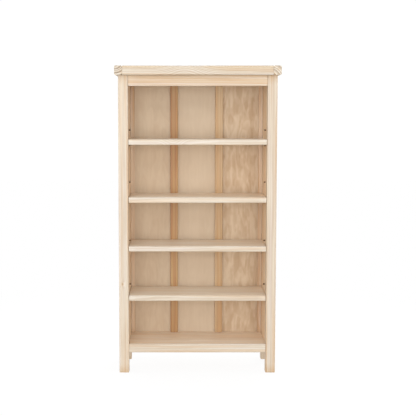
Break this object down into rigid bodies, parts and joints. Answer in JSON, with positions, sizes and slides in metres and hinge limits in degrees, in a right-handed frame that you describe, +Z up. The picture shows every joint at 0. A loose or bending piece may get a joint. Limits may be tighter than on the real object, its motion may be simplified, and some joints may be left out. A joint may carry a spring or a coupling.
{
  "type": "bookcase with adjustable shelves",
  "caption": "Tall open pine bookcase on square legs, with a framed panel back, a thick breadboard-ended top and shelves that lie on steel pegs in side holes.",
  "frame": {"origin": "on the floor, at the middle of the bookcase's bounding box", "axes": "+X to the right seen from the front, +Y towards the back, +Z up; the open front faces -Y"},
  "size_m": [0.8, 0.31, 1.5],
  "materials": {
    "pine_frame": "unfinished planed pine, eased edges",
    "pine_top": "unfinished planed pine, end grain at the breadboard ends",
    "pine_shelf": "unfinished planed pine, rounded front edge",
    "pine_panel": "unfinished planed pine",
    "pine_back": "unfinished pine heartwood",
    "pine_button": "unfinished pine, sawn",
    "plywood_back": "unfinished pine-faced plywood",
    "peg_steel": "dark bronze plated"
  },
  "bodies": {
    "case": {"top_board": "pine_top", "top_breadboard_left": "pine_top", "top_breadboard_right": "pine_top", "leg_front_left": "pine_frame", "leg_front_right": "pine_frame", "leg_rear_left": "pine_frame", "leg_rear_right": "pine_frame", "top_rail_front": "pine_frame", "bottom_rail_front": "pine_frame", "side_rail_top_left": "pine_frame", "side_rail_top_right": "pine_frame", "side_rail_bottom_left": "pine_frame", "side_rail_bottom_right": "pine_frame", "side_panel_left": "pine_panel", "side_panel_right": "pine_panel", "bottom_board": "pine_panel", "top_rail_rear": "pine_back", "bottom_rail_rear": "pine_back", "back_upright_left": "pine_back", "back_upright_right": "pine_back", "back_corner_strip_left": "pine_back", "back_corner_strip_right": "pine_back", "back_panel_left": "plywood_back", "back_panel_centre": "plywood_back", "back_panel_right": "plywood_back", "top_button_front_1": "pine_button", "top_button_front_2": "pine_button", "top_button_front_3": "pine_button", "top_button_rear_1": "pine_button", "top_button_rear_2": "pine_button", "top_button_rear_3": "pine_button"},
    "shelf_1": {"shelf_1": "pine_shelf"},
    "shelf_2": {"shelf_2": "pine_shelf"},
    "shelf_3": {"shelf_3": "pine_shelf"},
    "shelf_4": {"shelf_4": "pine_shelf"},
    "shelf_1_peg_front_left": {"shelf_1_peg_front_left": "peg_steel"},
    "shelf_1_peg_rear_left": {"shelf_1_peg_rear_left": "peg_steel"},
    "shelf_1_peg_front_right": {"shelf_1_peg_front_right": "peg_steel"},
    "shelf_1_peg_rear_right": {"shelf_1_peg_rear_right": "peg_steel"},
    "spare_peg_1_left": {"spare_peg_1_left": "peg_steel"},
    "spare_peg_1_right": {"spare_peg_1_right": "peg_steel"},
    "shelf_2_peg_front_left": {"shelf_2_peg_front_left": "peg_steel"},
    "shelf_2_peg_rear_left": {"shelf_2_peg_rear_left": "peg_steel"},
    "shelf_2_peg_front_right": {"shelf_2_peg_front_right": "peg_steel"},
    "shelf_2_peg_rear_right": {"shelf_2_peg_rear_right": "peg_steel"},
    "spare_peg_2_left": {"spare_peg_2_left": "peg_steel"},
    "spare_peg_2_right": {"spare_peg_2_right": "peg_steel"},
    "shelf_3_peg_front_left": {"shelf_3_peg_front_left": "peg_steel"},
    "shelf_3_peg_rear_left": {"shelf_3_peg_rear_left": "peg_steel"},
    "shelf_3_peg_front_right": {"shelf_3_peg_front_right": "peg_steel"},
    "shelf_3_peg_rear_right": {"shelf_3_peg_rear_right": "peg_steel"},
    "spare_peg_3_left": {"spare_peg_3_left": "peg_steel"},
    "spare_peg_3_right": {"spare_peg_3_right": "peg_steel"},
    "shelf_4_peg_front_left": {"shelf_4_peg_front_left": "peg_steel"},
    "shelf_4_peg_rear_left": {"shelf_4_peg_rear_left": "peg_steel"},
    "shelf_4_peg_front_right": {"shelf_4_peg_front_right": "peg_steel"},
    "shelf_4_peg_rear_right": {"shelf_4_peg_rear_right": "peg_steel"},
    "spare_peg_4_left": {"spare_peg_4_left": "peg_steel"},
    "spare_peg_4_right": {"spare_peg_4_right": "peg_steel"}
  },
  "joints": [
    {"name": "shelf_1_draw", "type": "slide", "parent": "case", "child": "shelf_1", "axis": [0, -1, 0], "range_m": [0, 0.3]},
    {"name": "shelf_2_draw", "type": "slide", "parent": "case", "child": "shelf_2", "axis": [0, -1, 0], "range_m": [0, 0.3]},
    {"name": "shelf_3_draw", "type": "slide", "parent": "case", "child": "shelf_3", "axis": [0, -1, 0], "range_m": [0, 0.3]},
    {"name": "shelf_4_draw", "type": "slide", "parent": "case", "child": "shelf_4", "axis": [0, -1, 0], "range_m": [0, 0.3]},
    {"name": "shelf_1_peg_front_left_pull", "type": "slide", "parent": "case", "child": "shelf_1_peg_front_left", "axis": [1, 0, 0], "range_m": [0, 0.025]},
    {"name": "shelf_1_peg_rear_left_pull", "type": "slide", "parent": "case", "child": "shelf_1_peg_rear_left", "axis": [1, 0, 0], "range_m": [0, 0.025]},
    {"name": "shelf_1_peg_front_right_pull", "type": "slide", "parent": "case", "child": "shelf_1_peg_front_right", "axis": [-1, 0, 0], "range_m": [0, 0.025]},
    {"name": "shelf_1_peg_rear_right_pull", "type": "slide", "parent": "case", "child": "shelf_1_peg_rear_right", "axis": [-1, 0, 0], "range_m": [0, 0.025]},
    {"name": "spare_peg_1_left_pull", "type": "slide", "parent": "case", "child": "spare_peg_1_left", "axis": [1, 0, 0], "range_m": [0, 0.025]},
    {"name": "spare_peg_1_right_pull", "type": "slide", "parent": "case", "child": "spare_peg_1_right", "axis": [-1, 0, 0], "range_m": [0, 0.025]},
    {"name": "shelf_2_peg_front_left_pull", "type": "slide", "parent": "case", "child": "shelf_2_peg_front_left", "axis": [1, 0, 0], "range_m": [0, 0.025]},
    {"name": "shelf_2_peg_rear_left_pull", "type": "slide", "parent": "case", "child": "shelf_2_peg_rear_left", "axis": [1, 0, 0], "range_m": [0, 0.025]},
    {"name": "shelf_2_peg_front_right_pull", "type": "slide", "parent": "case", "child": "shelf_2_peg_front_right", "axis": [-1, 0, 0], "range_m": [0, 0.025]},
    {"name": "shelf_2_peg_rear_right_pull", "type": "slide", "parent": "case", "child": "shelf_2_peg_rear_right", "axis": [-1, 0, 0], "range_m": [0, 0.025]},
    {"name": "spare_peg_2_left_pull", "type": "slide", "parent": "case", "child": "spare_peg_2_left", "axis": [1, 0, 0], "range_m": [0, 0.025]},
    {"name": "spare_peg_2_right_pull", "type": "slide", "parent": "case", "child": "spare_peg_2_right", "axis": [-1, 0, 0], "range_m": [0, 0.025]},
    {"name": "shelf_3_peg_front_left_pull", "type": "slide", "parent": "case", "child": "shelf_3_peg_front_left", "axis": [1, 0, 0], "range_m": [0, 0.025]},
    {"name": "shelf_3_peg_rear_left_pull", "type": "slide", "parent": "case", "child": "shelf_3_peg_rear_left", "axis": [1, 0, 0], "range_m": [0, 0.025]},
    {"name": "shelf_3_peg_front_right_pull", "type": "slide", "parent": "case", "child": "shelf_3_peg_front_right", "axis": [-1, 0, 0], "range_m": [0, 0.025]},
    {"name": "shelf_3_peg_rear_right_pull", "type": "slide", "parent": "case", "child": "shelf_3_peg_rear_right", "axis": [-1, 0, 0], "range_m": [0, 0.025]},
    {"name": "spare_peg_3_left_pull", "type": "slide", "parent": "case", "child": "spare_peg_3_left", "axis": [1, 0, 0], "range_m": [0, 0.025]},
    {"name": "spare_peg_3_right_pull", "type": "slide", "parent": "case", "child": "spare_peg_3_right", "axis": [-1, 0, 0], "range_m": [0, 0.025]},
    {"name": "shelf_4_peg_front_left_pull", "type": "slide", "parent": "case", "child": "shelf_4_peg_front_left", "axis": [1, 0, 0], "range_m": [0, 0.025]},
    {"name": "shelf_4_peg_rear_left_pull", "type": "slide", "parent": "case", "child": "shelf_4_peg_rear_left", "axis": [1, 0, 0], "range_m": [0, 0.025]},
    {"name": "shelf_4_peg_front_right_pull", "type": "slide", "parent": "case", "child": "shelf_4_peg_front_right", "axis": [-1, 0, 0], "range_m": [0, 0.025]},
    {"name": "shelf_4_peg_rear_right_pull", "type": "slide", "parent": "case", "child": "shelf_4_peg_rear_right", "axis": [-1, 0, 0], "range_m": [0, 0.025]},
    {"name": "spare_peg_4_left_pull", "type": "slide", "parent": "case", "child": "spare_peg_4_left", "axis": [1, 0, 0], "range_m": [0, 0.025]},
    {"name": "spare_peg_4_right_pull", "type": "slide", "parent": "case", "child": "spare_peg_4_right", "axis": [-1, 0, 0], "range_m": [0, 0.025]}
  ]
}
